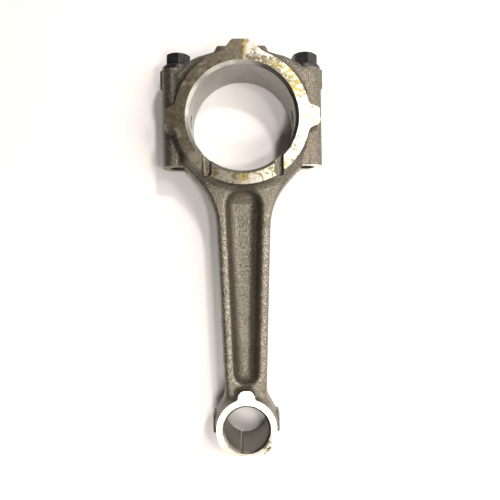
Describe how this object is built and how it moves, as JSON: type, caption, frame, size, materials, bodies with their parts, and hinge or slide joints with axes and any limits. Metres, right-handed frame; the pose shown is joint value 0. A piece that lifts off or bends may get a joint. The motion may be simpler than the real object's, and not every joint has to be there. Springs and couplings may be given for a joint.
{
  "type": "connecting rod",
  "caption": "Forged I-beam connecting rod, its bearing cap bolted on round the big-end bore, with a rolled bush in the small end.",
  "frame": {"origin": "middle of the box that holds the rod, on its lower machined side faces", "axes": "+Y along the rod from the small end to the big end and its cap, +Z along the bores, +X across the rod"},
  "size_m": [0.0998, 0.2488, 0.036],
  "materials": {
    "forging": "shot-blasted forging with ground faces and bores, lightly oiled",
    "bolt": "black oxide",
    "dowel": "ground",
    "bush": "steel-backed bush with a worn bronze lining"
  },
  "bodies": {
    "rod": {"rod_body": "forging", "small_end_bush": "bush", "cap_dowel_left": "dowel", "cap_dowel_right": "dowel"},
    "cap": {"rod_cap": "forging"},
    "bolt_left": {"cap_bolt_left": "bolt"},
    "bolt_right": {"cap_bolt_right": "bolt"}
  },
  "joints": [
    {"name": "cap_lift", "type": "slide", "parent": "rod", "child": "cap", "axis": [0, 1, 0], "range_m": [0, 0.03]},
    {"name": "bolt_left_out", "type": "slide", "parent": "cap", "child": "bolt_left", "axis": [0, 1, 0], "range_m": [0, 0.058]},
    {"name": "bolt_right_out", "type": "slide", "parent": "cap", "child": "bolt_right", "axis": [0, 1, 0], "range_m": [0, 0.058]}
  ]
}
